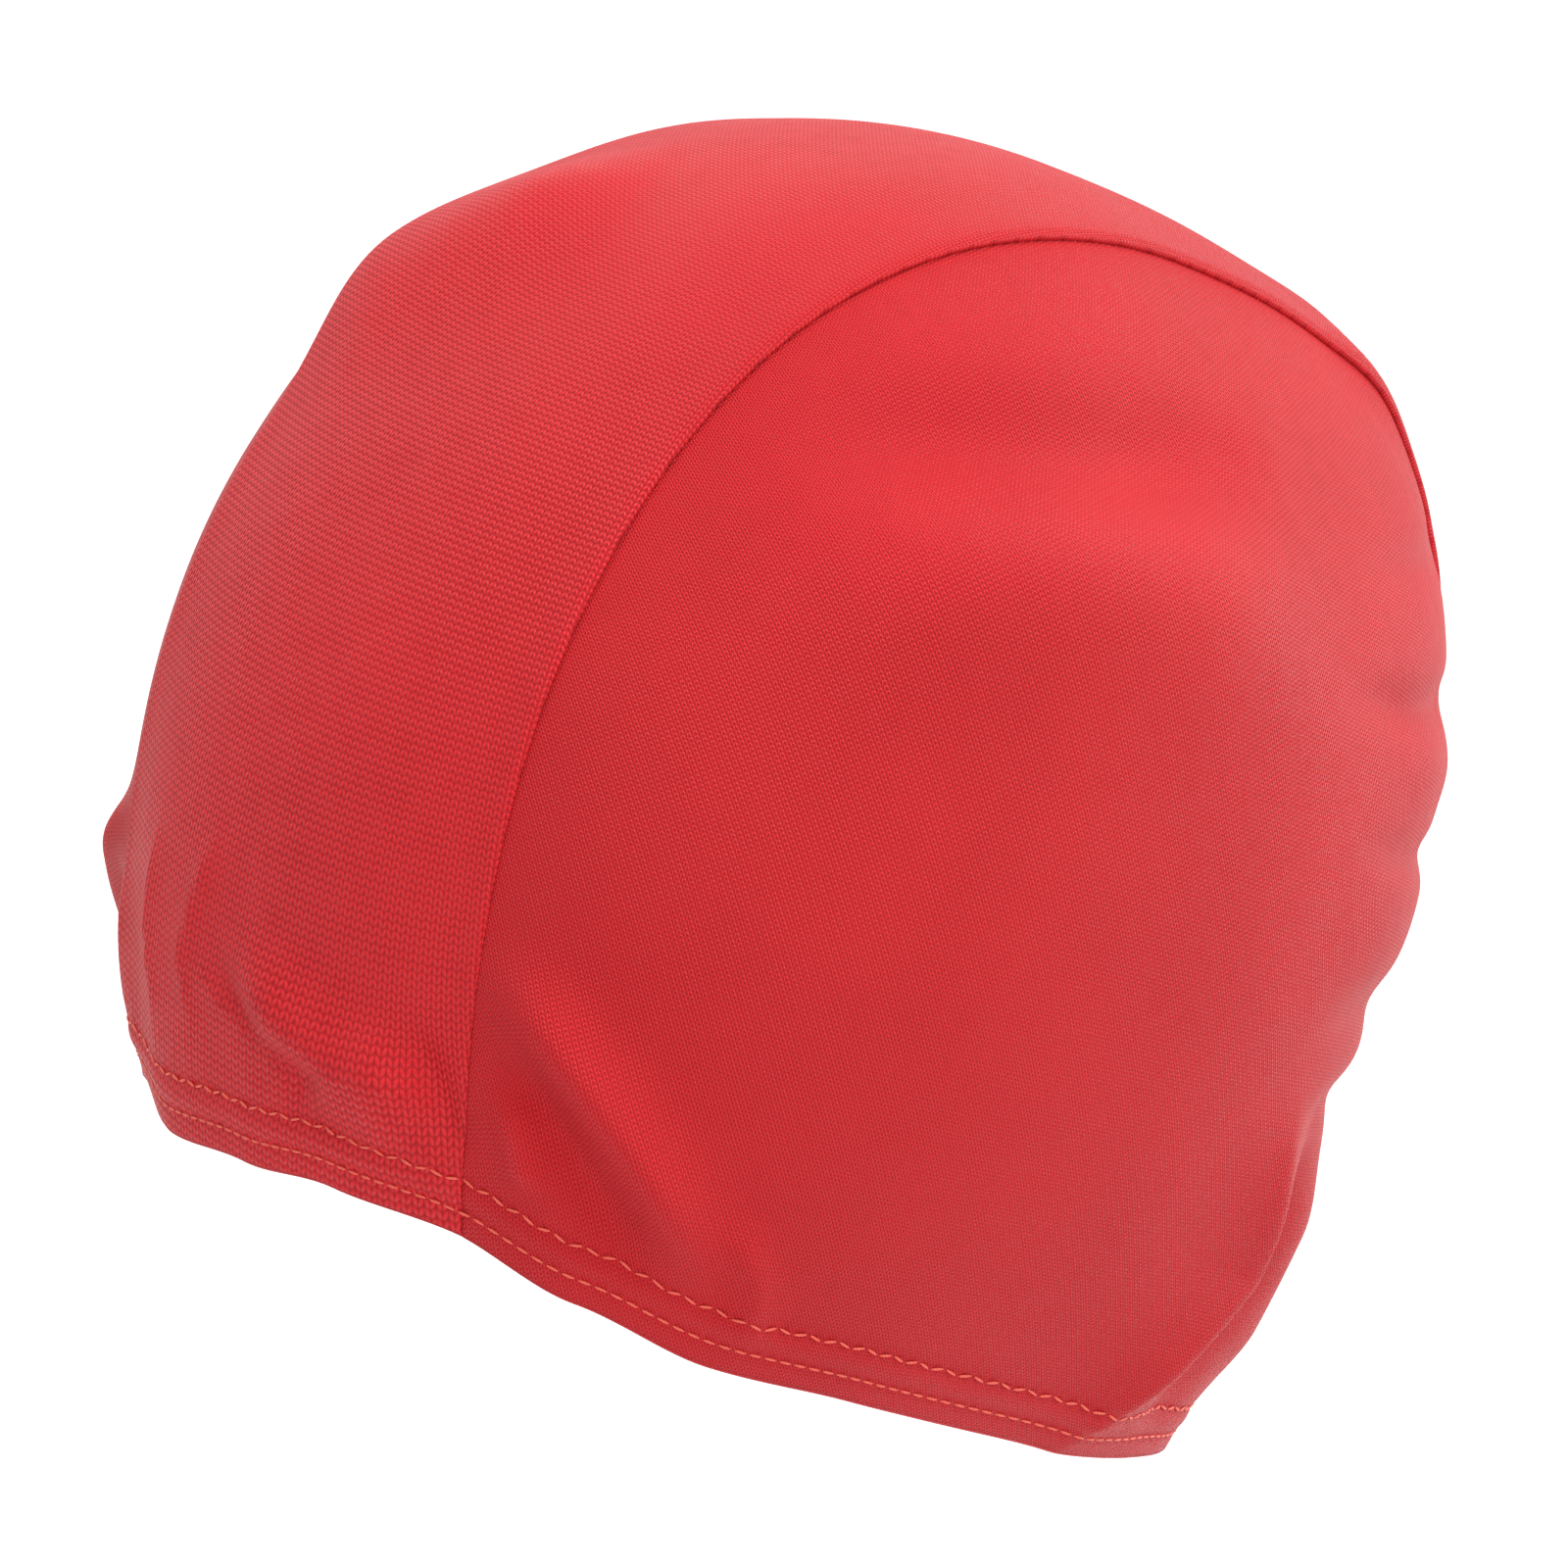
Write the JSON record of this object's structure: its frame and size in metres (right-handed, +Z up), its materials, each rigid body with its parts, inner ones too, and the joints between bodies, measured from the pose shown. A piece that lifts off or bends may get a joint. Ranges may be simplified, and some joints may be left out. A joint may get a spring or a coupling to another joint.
{
  "type": "swim cap",
  "caption": "Knitted fabric swim cap in its worn shape: a centre panel over the crown, two side panels and a turned-up hem.",
  "frame": {"origin": "where the crown of the head meets the inside of the cap, on its middle line", "axes": "+Z up with the wearer's head upright, -Y towards the forehead, +X towards the wearer's left ear"},
  "size_m": [0.156, 0.1971, 0.1992],
  "materials": {
    "knitted_fabric": "satin"
  },
  "bodies": {
    "root": {"centre_panel": "knitted_fabric", "side_panel_left": "knitted_fabric", "side_panel_right": "knitted_fabric", "turned_hem": "knitted_fabric"}
  },
  "joints": []
}
